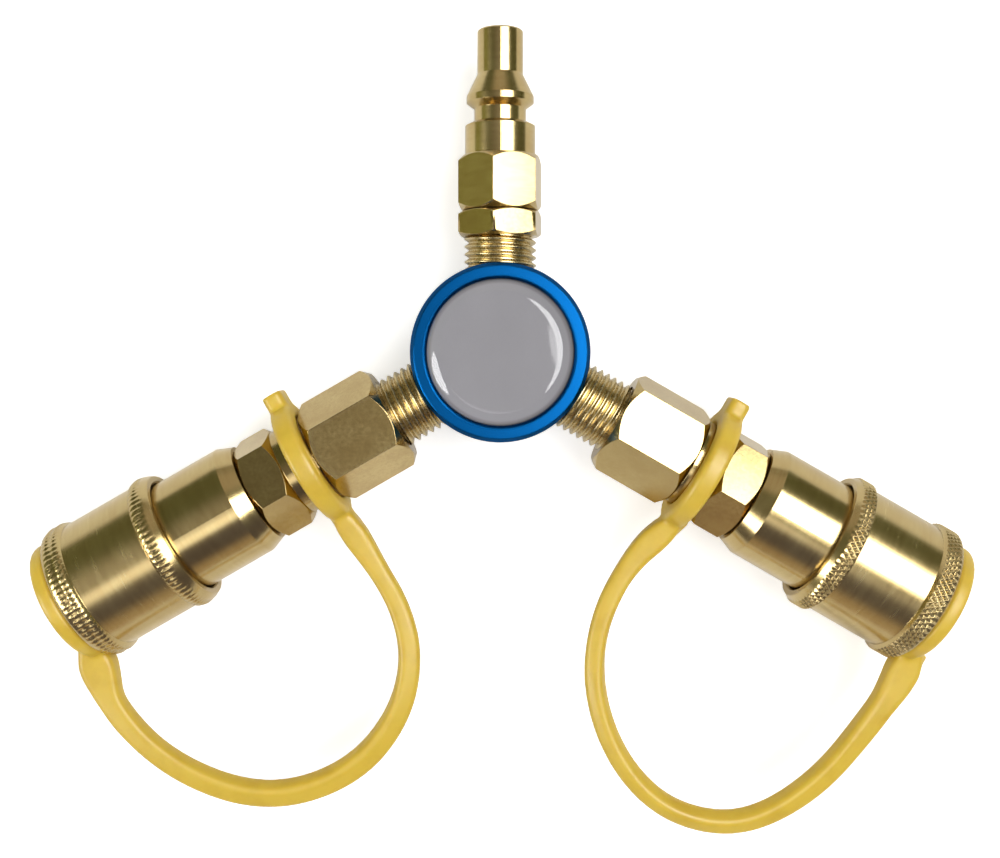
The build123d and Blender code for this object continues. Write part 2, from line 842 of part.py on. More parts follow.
outlet_pieces = {
    "outlet_nipple": make_outlet_nipple,
    "hex_coupling": make_hex_coupling,
    "socket_tail": make_socket_tail,
    "tail_seal": make_tail_seal,
    "socket_barrel": make_socket_barrel,
    "valve_guide": make_valve_guide,
    "valve_spring": make_valve_spring,
    "valve_poppet": make_valve_poppet,
    "poppet_seal": make_poppet_seal,
    "nose_seal": make_nose_seal,
    "release_sleeve": make_sleeve,
    "sleeve_spring": make_sleeve_spring,
    "snap_ring": make_snap_ring,
    "strap_ring": make_strap_ring,
    "dust_strap": make_dust_strap,
    "dust_plug": make_dust_plug,
}
for outlet in outlets:
    for name, make in outlet_pieces.items():
        save(make(outlet), f"{outlet.side}_{name}")
    for number in range(ball_count):
        save(make_locking_ball(outlet, number), f"{outlet.side}_locking_ball_{number + 1}")
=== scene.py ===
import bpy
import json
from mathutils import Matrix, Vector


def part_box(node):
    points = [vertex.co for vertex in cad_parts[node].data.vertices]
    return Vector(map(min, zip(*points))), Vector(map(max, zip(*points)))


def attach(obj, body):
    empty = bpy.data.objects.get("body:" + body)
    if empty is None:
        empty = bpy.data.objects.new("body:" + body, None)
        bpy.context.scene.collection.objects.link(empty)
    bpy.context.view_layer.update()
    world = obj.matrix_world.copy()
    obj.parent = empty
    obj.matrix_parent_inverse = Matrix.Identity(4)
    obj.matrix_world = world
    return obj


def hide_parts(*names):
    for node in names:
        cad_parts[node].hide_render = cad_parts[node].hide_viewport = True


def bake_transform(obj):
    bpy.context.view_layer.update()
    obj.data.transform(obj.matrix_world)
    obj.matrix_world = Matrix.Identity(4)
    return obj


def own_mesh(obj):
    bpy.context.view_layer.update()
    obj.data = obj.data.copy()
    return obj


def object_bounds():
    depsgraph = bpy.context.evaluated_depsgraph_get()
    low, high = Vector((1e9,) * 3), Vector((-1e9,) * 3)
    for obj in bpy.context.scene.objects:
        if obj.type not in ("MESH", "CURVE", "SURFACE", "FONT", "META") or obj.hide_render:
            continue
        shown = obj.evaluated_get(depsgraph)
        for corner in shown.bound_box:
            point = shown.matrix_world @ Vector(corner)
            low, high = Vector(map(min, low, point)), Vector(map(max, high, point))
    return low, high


bl_info = {
    "name": "Quick-Connect Y Fitting",
    "version": (1, 0, 0),
    "blender": (4, 5, 0),
    "location": "3D View > Sidebar > Y Fitting",
    "description": "Threads, knurls, moulded straps and finishes for a gas splitter with two socket outlets",
    "category": "Object",
}

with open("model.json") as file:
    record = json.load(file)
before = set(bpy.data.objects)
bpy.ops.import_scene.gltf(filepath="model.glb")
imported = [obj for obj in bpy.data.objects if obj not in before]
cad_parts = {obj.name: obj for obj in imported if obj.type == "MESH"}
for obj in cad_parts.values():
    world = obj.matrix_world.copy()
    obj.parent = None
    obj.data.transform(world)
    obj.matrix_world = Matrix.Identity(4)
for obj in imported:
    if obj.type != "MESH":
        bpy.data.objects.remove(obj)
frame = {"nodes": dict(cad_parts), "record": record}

import json
from math import ceil, cos, pi, radians, sin, sqrt, tan, tau

import bmesh
import bpy
from bpy.props import FloatProperty, FloatVectorProperty, PointerProperty
from mathutils import Matrix, Vector

CAD_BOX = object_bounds()
MM = 0.001
UP = Vector((0, 0, 1))


class Arm:
    """One of the three arms, as the frame's mounts place it: out along it, up, and side to its left."""

    def __init__(self, mount):
        self.out = Vector(mount["axis"]).normalized()
        self.side = UP.cross(self.out)
        self.centre = Vector((0, 0, mount["pos_m"][2]))

    def at(self, along, radius=0.0, angle=0.0):
        """A point by its distance from the hub's centre, its radius and its angle from straight up."""
        across = UP * cos(angle) + self.side * sin(angle)
        return self.centre + self.out * along + across * radius

    def measure(self, point):
        """The distance along the arm and the radius of a point."""
        offset = point - self.centre
        along = offset.dot(self.out)
        return along, (offset - self.out * along).length


mounts = {mount["name"]: mount for mount in frame["record"]["mounts"]}
INLET = Arm(mounts["inlet"])
OUTLETS = {side: Arm(mounts[f"outlet_{side}"]) for side in ("left", "right")}
# The strap of the left outlet loops anticlockwise of its arm, and that of the right one clockwise
STRAP_TURN = {"left": 1, "right": -1}

# The straps' corners, from inside the ring to inside the plug, as (distance along the arm, beside it) in mm
STRAP_ROUTES = {
    "left": [
        (40.5, 10.4), (39.7, 22), (39.6, 32), (42.6, 41.2), (50, 49.1), (61.2, 53.5),
        (73.9, 52), (83.6, 45.8), (91.6, 34.6), (95, 22), (93.7, 14), (92, 7.6),
    ],
    "right": [
        (43.6, 10.5), (40, 21.8), (40.7, 34.2), (45.7, 45), (54.9, 53.6), (66, 57.9),
        (76.4, 56.6), (84.6, 51.2), (90.9, 39.6), (93.4, 25.6), (94.3, 15.5), (92.9, 8),
    ],
}
# The straps' width, as (share of the route, share of the narrowest width)
STRAP_WIDTHS = {
    "left": [
        (0, 0.8), (0.035, 1.36), (0.13, 1.06), (0.25, 1.12), (0.45, 1.3),
        (0.62, 1.28), (0.8, 1.18), (0.88, 1.25), (0.95, 1.85), (1, 1.1),
    ],
    "right": [
        (0, 0.8), (0.035, 1.4), (0.13, 1.06), (0.25, 0.98), (0.45, 1.0),
        (0.6, 1.1), (0.78, 1.22), (0.88, 1.3), (0.95, 1.65), (1, 1.0),
    ],
}
# The straps' twist, as (share of the route, degrees)
STRAP_TWISTS = {
    "left": [(0, 0), (0.15, 4), (0.4, 22), (0.6, 26), (0.8, 14), (1, 0)],
    "right": [(0, 0), (0.15, -8), (0.35, -28), (0.55, -34), (0.75, -18), (1, 0)],
}
# The poured resin's slope, as (share of its radius, degrees), and the share of its height that it falls by
DOME_SLOPES = [(0, 0), (0.77, 2), (0.81, 6), (0.855, 27), (0.95, 37), (1, 72)]
DOME_FALL = 0.93


def linear(hex_colour):
    """Turn an sRGB hex colour into linear red, green and blue."""
    values = [int(hex_colour[i:i + 2], 16) / 255 for i in (1, 3, 5)]
    return tuple(v / 12.92 if v <= 0.04045 else ((v + 0.055) / 1.055) ** 2.4 for v in values)


def size(name, description, millimetres):
    """A length that the panel shows."""
    return FloatProperty(
        name=name, description=description, default=millimetres * MM, unit="LENGTH", precision=5
    )


def colour(name, description, hex_colour):
    """A colour that the panel shows."""
    return FloatVectorProperty(
        name=name, description=description, default=linear(hex_colour), subtype="COLOR", size=3, min=0, max=1
    )


class FittingSizes(bpy.types.PropertyGroup):
    """Sizes of the detail that the plain solids leave out."""

    thread_pitch: size("Thread pitch", "Distance from crest to crest, 18 threads to the inch", 25.4 / 18)
    thread_depth: size("Thread depth", "Height of the thread's ridge", 0.78)
    knurl_pitch: size("Knurl pitch", "Distance between the knurl's points round the band", 1.15)
    knurl_row: size("Knurl row", "Distance along the band between rows of points", 0.8)
    knurl_depth: size("Knurl depth", "Depth of the grooves between the points", 0.28)
    strap_width: size("Strap width", "Width of the strap seen from above, at its narrowest", 3.6)
    strap_height: size("Strap height", "Thickness of the strap from its upper to its lower face", 3.6)
    strap_root: size("Strap root", "Extra thickness where the strap meets the ring and the dust plug", 2.6)
    mould_voxel: size("Moulding grain", "Spacing of the mesh on the soft mouldings", 0.34)


class FittingColours(bpy.types.PropertyGroup):
    """Colours of the finishes."""

    turned_brass: colour("Turned brass", "Plug, sockets and sleeves", "#C2AE7C")
    bar_brass: colour("Drawn brass bar", "Hexagons", "#BEA977")
    thread_brass: colour("Cut brass thread", "Fresh cut threads", "#C9B88C")
    anodised: colour("Blue anodising", "Hub", "#064B84")
    badge: colour("Badge vinyl", "Disc under the resin", "#A6A4A9")
    vinyl: colour("Yellow vinyl", "Rings, straps and dust plugs", "#E0BF42")
    floor: colour("Floor", "Paper sweep", "#F4F4F4")


def sizes():
    return bpy.context.scene.y_fitting_sizes


def colours():
    return bpy.context.scene.y_fitting_colours


def add_node(tree, kind, inputs=None, **settings):
    """Add one node with its settings. An input is a constant, or a socket to link from."""
    node = tree.nodes.new(kind)
    for name, value in settings.items():
        setattr(node, name, value)
    for key, value in (inputs or {}).items():
        if isinstance(value, bpy.types.NodeSocket):
            tree.links.new(value, node.inputs[key])
        else:
            node.inputs[key].default_value = value
    return node


def new_material(name):
    """A material with a bare tree that holds only its output."""
    material = bpy.data.materials.new(name)
    material.use_nodes = True
    tree = material.node_tree
    tree.nodes.clear()
    output = add_node(tree, "ShaderNodeOutputMaterial")
    return material, tree, output


def mapped(tree, value, low, high, from_low=0.0, from_high=1.0):
    """Map a value's range to another one, and hold it there."""
    inputs = {0: value, 1: from_low, 2: from_high, 3: low, 4: high}
    return add_node(tree, "ShaderNodeMapRange", inputs).outputs[0]


def object_place(tree):
    """Where a point lies on the object, in metres."""
    return add_node(tree, "ShaderNodeTexCoord").outputs["Object"]


def bumped(tree, height, strength, depth_mm, normal=None):
    """The surface's normal, tilted by a height."""
    inputs = {"Strength": strength, "Distance": depth_mm * MM, "Height": height}
    if normal:
        inputs["Normal"] = normal
    return add_node(tree, "ShaderNodeBump", inputs).outputs[0]


def product(tree, one, other):
    """Two noises multiplied, so that each breaks up the other."""
    return add_node(tree, "ShaderNodeMath", {0: one, 1: other}, operation="MULTIPLY").outputs[0]


def turning_coordinates(tree, arm):
    """Distance along the arm, radius, angle and plain place: a turning mark keeps to the first two."""
    place = object_place(tree)
    offset = add_node(
        tree, "ShaderNodeVectorMath", {0: place, 1: arm.centre}, operation="SUBTRACT"
    ).outputs[0]
    along = add_node(tree, "ShaderNodeVectorMath", {0: offset, 1: arm.out}, operation="DOT_PRODUCT")
    across = add_node(tree, "ShaderNodeVectorMath", {0: offset, 1: arm.side}, operation="DOT_PRODUCT")
    height = add_node(tree, "ShaderNodeVectorMath", {0: offset, 1: UP}, operation="DOT_PRODUCT")
    flat = add_node(tree, "ShaderNodeCombineXYZ", {0: across.outputs["Value"], 1: height.outputs["Value"]})
    radius = add_node(tree, "ShaderNodeVectorMath", {0: flat.outputs[0]}, operation="LENGTH")
    angle = add_node(
        tree, "ShaderNodeMath", {0: across.outputs["Value"], 1: height.outputs["Value"]},
        operation="ARCTAN2",
    )
    return along.outputs["Value"], radius.outputs["Value"], angle.outputs[0], place


def noise(tree, vector, blotch_mm, detail=2.0, roughness=0.5):
    """A noise whose blotches lie about this far apart."""
    inputs = {"Vector": vector, "Scale": 1 / (blotch_mm * MM), "Detail": detail, "Roughness": roughness}
    return add_node(tree, "ShaderNodeTexNoise", inputs).outputs["Fac"]


def metal_shader(tree, output, base, roughness, normal, anisotropic=0.0, tangent=None):
    """Bare metal, with its highlights stretched along the tangent where one is given."""
    inputs = {"Base Color": base, "Metallic": 1.0, "Roughness": roughness, "Normal": normal}
    if anisotropic:
        inputs["Anisotropic"] = anisotropic
        inputs["Tangent"] = tangent
    shader = add_node(tree, "ShaderNodeBsdfPrincipled", inputs)
    tree.links.new(shader.outputs[0], output.inputs["Surface"])


def tinted(tree, base, factor, darker, warmth=0.94):
    """The base colour and a darker, warmer shade of it, mixed by a noise."""
    shade = [base[0] * darker, base[1] * darker * warmth, base[2] * darker * warmth * warmth]
    return mixed(tree, factor, (*shade, 1), (*base, 1))


def mixed(tree, factor, one, other):
    """Two colours, the first where the factor is 0 and the other where it is 1."""
    return add_node(tree, "ShaderNodeMix", {0: factor, 6: one, 7: other}, data_type="RGBA").outputs[2]


def rounded_edges(tree, radius_mm):
    """Edges broken by the tumbling drum, so that each catches a thin line of light."""
    return add_node(tree, "ShaderNodeBevel", {"Radius": radius_mm * MM}, samples=4).outputs[0]


def turned_brass(name, arm, base, roughness=0.22):
    """Free-cutting brass turned on a lathe: fine rings round the arm stretch each highlight along it."""
    material, tree, output = new_material(name)
    along, radius, angle, place = turning_coordinates(tree, arm)
    rings = add_node(tree, "ShaderNodeCombineXYZ", {0: along, 1: radius}).outputs[0]
    # The tool's feed is nearer 0.1 mm; it is drawn three times as coarse to show
    marks = noise(tree, rings, 0.3, detail=4, roughness=0.65)
    stain = noise(tree, place, 7, detail=3)
    # A whole turn counts as 8 mm, so that the handling streaks run far round the arm
    turn_place = mapped(tree, angle, -4 * MM, 4 * MM, -pi, pi)
    streak_place = add_node(tree, "ShaderNodeCombineXYZ", {0: along, 1: radius, 2: turn_place}).outputs[0]
    streaks = noise(tree, streak_place, 0.7, detail=3)
    surface = add_node(tree, "ShaderNodeNewGeometry")
    spoke = add_node(
        tree, "ShaderNodeVectorMath", {0: surface.outputs["Position"], 1: arm.centre}, operation="SUBTRACT"
    )
    round_arm = add_node(
        tree, "ShaderNodeVectorMath", {0: arm.out, 1: spoke.outputs[0]}, operation="CROSS_PRODUCT"
    )
    tangent = add_node(
        tree, "ShaderNodeVectorMath", {0: round_arm.outputs[0], 1: surface.outputs["Normal"]},
        operation="CROSS_PRODUCT",
    )
    metal_shader(
        tree, output,
        base=tinted(tree, base, mapped(tree, product(tree, stain, streaks), 0, 1, 0.1, 0.4), 0.88),
        roughness=mapped(tree, streaks, roughness - 0.015, roughness + 0.015, 0.3, 0.7),
        normal=bumped(tree, marks, 0.07, 0.02, rounded_edges(tree, 0.15)),
        anisotropic=0.4, tangent=tangent.outputs[0],
    )
    return material


def bar_brass(name, arm, base):
    """Brass hexagon bar, drawn and tumbled: dull faces with a fine mottle and faint streaks lengthwise."""
    material, tree, output = new_material(name)
    along, radius, angle, place = turning_coordinates(tree, arm)
    # Along the arm, 60 mm count as 8 mm, so that the drawing streaks run lengthwise
    drawn_place = mapped(tree, along, 0, 8 * MM, 0, 60 * MM)
    turn_place = mapped(tree, angle, -20 * MM, 20 * MM, -pi, pi)
    grain_place = add_node(
        tree, "ShaderNodeCombineXYZ", {0: drawn_place, 1: radius, 2: turn_place}
    ).outputs[0]
    grain = noise(tree, grain_place, 0.5, detail=4)
    mottle = noise(tree, place, 0.6, detail=3, roughness=0.55)
    stain = noise(tree, place, 5, detail=2)
    metal_shader(
        tree, output,
        base=tinted(tree, base, mapped(tree, product(tree, stain, mottle), 0, 1, 0.12, 0.38), 0.84),
        roughness=mapped(tree, mottle, 0.17, 0.2, 0.3, 0.7),
        normal=bumped(tree, grain, 0.1, 0.02, rounded_edges(tree, 0.2)),
    )
    return material


def cut_brass(name, base):
    """Freshly cut brass thread: brighter and yellower than the handled faces, with torn tool marks."""
    material, tree, output = new_material(name)
    tears = noise(tree, object_place(tree), 0.5, detail=3)
    metal_shader(
        tree, output,
        base=tinted(tree, base, mapped(tree, tears, 0, 1, 0.3, 0.65), 0.8),
        roughness=mapped(tree, tears, 0.24, 0.32, 0.3, 0.7),
        normal=bumped(tree, tears, 0.1, 0.02),
    )
    return material


def distance_from_axis(tree, place):
    """How far a point lies from the hub's axis."""
    flat = add_node(tree, "ShaderNodeVectorMath", {0: place, 1: (1, 1, 0)}, operation="MULTIPLY").outputs[0]
    return add_node(tree, "ShaderNodeVectorMath", {0: flat}, operation="LENGTH").outputs["Value"]


def anodised_aluminium(name, base):
    """Aluminium turned, then anodised and dyed blue: satin, with rings from the facing cut."""
    material, tree, output = new_material(name)
    place = object_place(tree)
    split = add_node(tree, "ShaderNodeSeparateXYZ", {0: place})
    radius = distance_from_axis(tree, place)
    rings_place = add_node(tree, "ShaderNodeCombineXYZ", {0: radius, 1: split.outputs[2]}).outputs[0]
    # Facing marks of 0.1 mm, drawn at 0.35 mm to show
    rings = noise(tree, rings_place, 0.35, detail=3, roughness=0.6)
    grain = noise(tree, place, 0.25, detail=3)
    metal_shader(
        tree, output,
        base=tinted(tree, base, mapped(tree, grain, 0, 1, 0.3, 0.6), 0.9, warmth=1.0),
        roughness=mapped(tree, rings, 0.27, 0.29, 0.3, 0.7),
        normal=bumped(tree, rings, 0.04, 0.015, rounded_edges(tree, 0.4)),
    )
    return material


def printed_vinyl(name, base):
    """Printed vinyl disc: flat grey with the faint grain of a solvent print, and a painted shade ring at its
    rim.
    """
    material, tree, output = new_material(name)
    place = object_place(tree)
    grain = noise(tree, place, 0.25, detail=3)
    cloud = noise(tree, place, 9, detail=1)
    printed = tinted(tree, base, mapped(tree, product(tree, grain, cloud), 0, 1, 0.1, 0.4), 0.93, warmth=1.0)
    # A dark grey ring is painted on the disc's rim: painted shade, for the dark edge that the resin's steep
    # skirt shows over the recess
    rim = mapped(tree, distance_from_axis(tree, place), 0, 1, 12 * MM, 12.9 * MM)
    shade = mixed(tree, rim, printed, (*linear("#5E5A5A"), 1))
    shader = add_node(tree, "ShaderNodeBsdfPrincipled", {"Base Color": shade, "Roughness": 0.55})
    tree.links.new(shader.outputs[0], output.inputs["Surface"])
    return material


def clear_resin(name):
    """Poured polyurethane resin: water clear and glossy, with the slightest orange peel."""
    material, tree, output = new_material(name)
    peel = noise(tree, object_place(tree), 2.5, detail=1)
    shader = add_node(
        tree, "ShaderNodeBsdfPrincipled",
        {
            "Base Color": (1, 1, 1, 1), "Roughness": 0.03, "IOR": 1.49, "Transmission Weight": 1.0,
            "Normal": bumped(tree, peel, 0.05, 0.02),
        },
    )
    clear = add_node(tree, "ShaderNodeBsdfTransparent")
    rays = add_node(tree, "ShaderNodeLightPath")
    # Cast light passes straight through, as it does in so thin a lens
    mix = add_node(
        tree, "ShaderNodeMixShader",
        {0: rays.outputs["Is Shadow Ray"], 1: shader.outputs[0], 2: clear.outputs[0]},
    )
    tree.links.new(mix.outputs[0], output.inputs["Surface"])
    return material


def soft_vinyl(name, base):
    """Plasticised PVC, moulded: waxy, a little translucent, with a fine matt grain and handling marks."""
    material, tree, output = new_material(name)
    place = object_place(tree)
    grain = noise(tree, place, 0.3, detail=4)
    dirt = noise(tree, place, 6, detail=4, roughness=0.6)
    height = add_node(tree, "ShaderNodeMath", {0: grain, 1: dirt}, operation="ADD").outputs[0]
    shader = add_node(
        tree, "ShaderNodeBsdfPrincipled",
        {
            "Base Color": tinted(tree, base, mapped(tree, dirt, 0, 1, 0.25, 0.55), 0.88, warmth=0.96),
            "Roughness": mapped(tree, dirt, 0.36, 0.5, 0.3, 0.7), "IOR": 1.52, "Subsurface Weight": 0.25,
            "Subsurface Radius": (1.0, 0.6, 0.15), "Subsurface Scale": 0.8 * MM,
            "Normal": bumped(tree, height, 0.12, 0.05),
        },
    )
    tree.links.new(shader.outputs[0], output.inputs["Surface"])
    return material


def nitrile(name):
    """Moulded nitrile rubber: black, with a soft sheen."""
    material, tree, output = new_material(name)
    grain = noise(tree, object_place(tree), 0.2, detail=3)
    shader = add_node(
        tree, "ShaderNodeBsdfPrincipled",
        {
            "Base Color": tinted(tree, linear("#1C1C1D"), grain, 0.7, warmth=1.0),
            "Roughness": mapped(tree, grain, 0.45, 0.6), "Normal": bumped(tree, grain, 0.2, 0.02),
        },
    )
    tree.links.new(shader.outputs[0], output.inputs["Surface"])
    return material


def steel(name, base, roughness, mark_mm):
    """Steel wire or ball: cold drawn or ground, with fine marks."""
    material, tree, output = new_material(name)
    marks = noise(tree, object_place(tree), mark_mm, detail=4)
    metal_shader(
        tree, output,
        base=tinted(tree, base, marks, 0.85, warmth=1.0),
        roughness=mapped(tree, marks, roughness * 0.8, roughness * 1.3),
        normal=bumped(tree, marks, 0.15, 0.01),
    )
    return material


def paper(name, base):
    """White paper sweep: matt, and as white to the camera as the light on it, with the shadow kept."""
    material, tree, output = new_material(name)
    fibre = noise(tree, object_place(tree), 3, detail=3)
    shade = tinted(tree, base, mapped(tree, fibre, 0.6, 1), 0.98, warmth=1.0)
    body = add_node(tree, "ShaderNodeBsdfDiffuse", {"Color": shade})
    glow = add_node(tree, "ShaderNodeEmission", {"Color": (1, 1, 1, 1), "Strength": 0.55})
    whole = add_node(tree, "ShaderNodeAddShader", {0: body.outputs[0], 1: glow.outputs[0]})
    rays = add_node(tree, "ShaderNodeLightPath")
    # Polished brass mirrors the paper a little duller than the camera sees it
    shown = add_node(
        tree, "ShaderNodeMath",
        {0: rays.outputs["Is Glossy Ray"], 1: 0.18, 2: rays.outputs["Is Camera Ray"]},
        operation="MULTIPLY_ADD",
    )
    mix = add_node(
        tree, "ShaderNodeMixShader", {0: shown.outputs[0], 1: body.outputs[0], 2: whole.outputs[0]}
    )
    tree.links.new(mix.outputs[0], output.inputs["Surface"])
    return material


def coat(obj, material):
    """Give an object one material."""
    obj.data.materials.clear()
    obj.data.materials.append(material)


def finish_nodes(names, material):
    """Give CAD nodes a material, and leave their shape alone."""
    for name in names:
        coat(frame["nodes"][name], material)


def add_piece(name, bm, material, smooth_angle=35):
    """Make an object of a mesh in the frame's own coordinates, smooth except across sharp edges."""
    mesh = bpy.data.meshes.new(name)
    bmesh.ops.recalc_face_normals(bm, faces=bm.faces)
    bm.to_mesh(mesh)
    bm.free()
    return add_mesh(name, mesh, material, smooth_angle)


def add_mesh(name, mesh, material, smooth_angle):
    """Make an object of a mesh, with the edges sharper than an angle left crisp."""
    mesh.shade_smooth()
    mesh.set_sharp_from_angle(angle=radians(smooth_angle))
    piece = bpy.data.objects.new(name, mesh)
    bpy.context.scene.collection.objects.link(piece)
    coat(piece, material)
    return piece


def stand_for(piece, body, node):
    """Let a piece stand in for a node: the node is hidden, and the piece rides on the node's body."""
    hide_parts(node)
    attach(piece, body)


def node_points(node):
    """The corners of a node's mesh."""
    return [vertex.co for vertex in frame["nodes"][node].data.vertices]


def span(node, arm):
    """Where a node starts and ends along an arm."""
    along = [arm.measure(point)[0] for point in node_points(node)]
    return min(along), max(along)


def girth(node, arm):
    """The largest radius of a node about an arm."""
    return max(arm.measure(point)[1] for point in node_points(node))


def bore_radius(node, arm):
    """The smallest radius of a node about an arm."""
    return min(arm.measure(point)[1] for point in node_points(node))


def turned_profile(node, arm):
    """The closed half profile of a turned node, walked from corner to corner along its mesh."""
    mesh = frame["nodes"][node].data
    grid = 0.01 * MM

    def key(vertex):
        along, radius = arm.measure(mesh.vertices[vertex].co)
        return round(along / grid), round(radius / grid)

    corners = {}
    for edge in mesh.edges:
        one, other = key(edge.vertices[0]), key(edge.vertices[1])
        if one != other:
            corners.setdefault(one, set()).add(other)
            corners.setdefault(other, set()).add(one)
    loop = [min(corners)]
    behind = None
    while True:
        ahead = sorted(corner for corner in corners[loop[-1]] if corner != behind)[0]
        if ahead == loop[0]:
            break
        behind = loop[-1]
        loop.append(ahead)
    return [(along * grid, radius * grid) for along, radius in loop]


def knurled_rows(profile, band_radius, crossed):
    """Rows of (distance, radii of the columns in turn, knurled or not), in diamonds or in beads."""
    band_foot = band_radius - 0.02 * MM
    rows = []
    for (along, radius), (next_along, next_radius) in zip(profile, profile[1:] + profile[:1]):
        if min(radius, next_radius) < band_foot:
            if not (rows and rows[-1][2] and radius > band_foot):
                rows.append((along, [radius], False))
            continue
        length = abs(next_along - along)
        if crossed:
            steps = max(2, round(length / sizes().knurl_row))
        else:
            steps = 4 * max(1, round(length / (2 * sizes().knurl_row)))
        for step in range(steps + 1):
            if crossed:
                heights = (0, 1) if step % 2 == 0 else (1, 0)
            else:
                swell = (0, 0.6, 1, 0.6)[step % 4]
                heights = (0, 0.6 * swell, swell, 0.6 * swell)
            radii = [radius - sizes().knurl_depth * (1 - height) for height in heights]
            rows.append((along + (next_along - along) * step / steps, radii, True))
    return rows


def revolve_rows(bm, arm, rows, columns, folded):
    """Revolve rows about the arm into a closed skin; folded faces break along the knurl's grooves."""
    rings = []
    for along, radii, _ in rows:
        rings.append([
            bm.verts.new(arm.at(along, radii[column % len(radii)], tau * column / columns))
            for column in range(columns)
        ])
    for index, ring in enumerate(rings):
        following = (index + 1) % len(rings)
        above = rings[following]
        breaks = folded and rows[index][2] and rows[following][2]
        for column in range(columns):
            beside = (column + 1) % columns
            corners = [ring[column], ring[beside], above[beside], above[column]]
            if not breaks:
                bm.faces.new(corners)
                continue
            peak = max(range(4), key=lambda i: arm.measure(corners[i].co)[1])
            if peak % 2 == 0:
                bm.faces.new([corners[0], corners[1], corners[2]])
                bm.faces.new([corners[0], corners[2], corners[3]])
            else:
                bm.faces.new([corners[0], corners[1], corners[3]])
                bm.faces.new([corners[1], corners[2], corners[3]])


def add_bore(bm, arm, edges, start, end, bore, columns=48):
    """Close both ends of a tube's skin and run a bore through it."""
    rings = []
    for along in (start, end):
        ring = [bm.verts.new(arm.at(along, bore, tau * column / columns)) for column in range(columns)]
        loop = [bm.edges.new((ring[column], ring[(column + 1) % columns])) for column in range(columns)]
        rings.append((ring, loop))
        outer = [edge for edge in edges if abs(arm.measure(edge.verts[0].co)[0] - along) < 0.001 * MM]
        bmesh.ops.triangle_fill(bm, use_beauty=True, edges=outer + loop)
    (low, _), (high, _) = rings
    for column in range(columns):
        beside = (column + 1) % columns
        bm.faces.new([low[column], low[beside], high[beside], high[column]])


def thread_skin(bm, arm, start, end, crest, pitch, depth, steps=72):
    """Sweep one V ridge along a helix, trim it square at both ends and return its open edges."""
    root = crest - depth
    shoulder = crest - 0.04 * MM
    # One ridge as (share of the pitch, radius)
    ridge = [(0.0, root), (0.12, root), (0.46, shoulder), (0.51, crest), (0.61, crest), (0.66, shoulder)]
    turns = ceil((end - start) / pitch) + 2
    points = []
    for step in range(steps * turns + 1):
        foot = start - 1.5 * pitch + pitch * step / steps
        angle = tau * step / steps
        points.append([bm.verts.new(arm.at(foot + share * pitch, radius, angle)) for share, radius in ridge])
    for step in range(steps * (turns - 1)):
        here, ahead = points[step], points[step + 1]
        for index in range(len(ridge)):
            if index + 1 < len(ridge):
                corners = [here[index], ahead[index], ahead[index + 1], here[index + 1]]
            else:
                corners = [here[index], ahead[index], points[step + steps + 1][0], points[step + steps][0]]
            bm.faces.new(corners)
    loose = [vertex for vertex in bm.verts if not vertex.link_faces]
    bmesh.ops.delete(bm, geom=loose, context="VERTS")
    for along, outward in ((start, -1), (end, 1)):
        bmesh.ops.bisect_plane(
            bm, geom=bm.verts[:] + bm.edges[:] + bm.faces[:], dist=1e-8, plane_co=arm.at(along),
            plane_no=arm.out * outward, clear_outer=True,
        )
    return [edge for edge in bm.edges if edge.is_boundary]


def threaded_tube(bm, arm, start, end, crest, bore):
    """A pipe thread over its whole length, with a bore through it."""
    edges = thread_skin(bm, arm, start, end, crest, sizes().thread_pitch, sizes().thread_depth)
    add_bore(bm, arm, edges, start, end, bore)


def moulded(name, bm, material):
    """A soft moulding: closed up into one fine skin, then smoothed until edges and joins are round."""
    mesh = bpy.data.meshes.new(name + "_source")
    bm.to_mesh(mesh)
    bm.free()
    source = bpy.data.objects.new(name + "_source", mesh)
    bpy.context.scene.collection.objects.link(source)
    remesh = source.modifiers.new("fine skin", "REMESH")
    remesh.mode = "VOXEL"
    remesh.voxel_size = sizes().mould_voxel
    remesh.adaptivity = 0
    smooth = source.modifiers.new("rounded edges", "SMOOTH")
    smooth.factor = 0.5
    smooth.iterations = 10
    bpy.context.view_layer.update()
    evaluated = source.evaluated_get(bpy.context.evaluated_depsgraph_get())
    skin = bpy.data.meshes.new_from_object(evaluated)
    skin.name = name
    bpy.data.objects.remove(source)
    return add_mesh(name, skin, material, smooth_angle=180)


def strap_corners(side):
    """The strap's corners in the frame."""
    arm = OUTLETS[side]
    beside = arm.side * STRAP_TURN[side]
    return [arm.centre + arm.out * along * MM + beside * across * MM for along, across in STRAP_ROUTES[side]]


def smooth_route(corners, steps=14):
    """A quadratic spline that leaves the first corner, rounds the others and ends in the last."""
    points = [corners[0], (corners[0] * 3 + corners[1]) / 4]
    for index in range(1, len(corners) - 1):
        start = (corners[index - 1] + corners[index]) / 2
        end = (corners[index] + corners[index + 1]) / 2
        for step in range(steps):
            t = step / steps
            points.append(start * (1 - t) ** 2 + corners[index] * 2 * t * (1 - t) + end * t**2)
    points.append((corners[-2] + corners[-1]) / 2)
    points.append((corners[-1] * 3 + corners[-2]) / 4)
    points.append(corners[-1])
    return points


